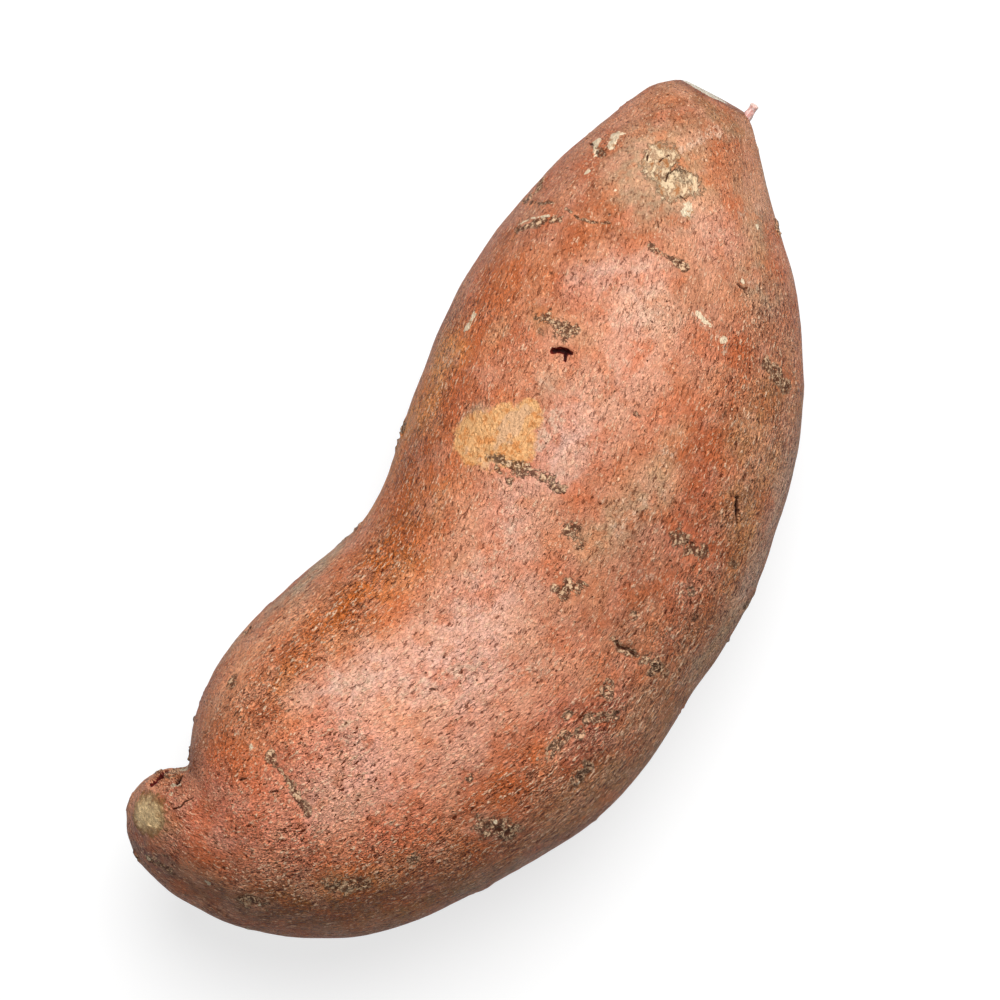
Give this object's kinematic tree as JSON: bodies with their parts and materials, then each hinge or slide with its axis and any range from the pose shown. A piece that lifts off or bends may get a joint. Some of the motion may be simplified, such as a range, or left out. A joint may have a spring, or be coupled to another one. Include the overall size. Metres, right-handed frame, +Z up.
{
  "type": "sweet potato",
  "caption": "Raw orange-skinned sweet potato, a crooked tapering root with a cut stem end and a hooked root end, lying on its side.",
  "frame": {"origin": "on the surface the root lies on, under the centre of its bounding box", "axes": "+X along the root's length towards the cut stem end, +Y towards the hollow side of its crook, +Z up"},
  "size_m": [0.166, 0.071, 0.0576],
  "materials": {
    "skin": "matte"
  },
  "bodies": {
    "root": {"sweet_potato": "skin"}
  },
  "joints": []
}
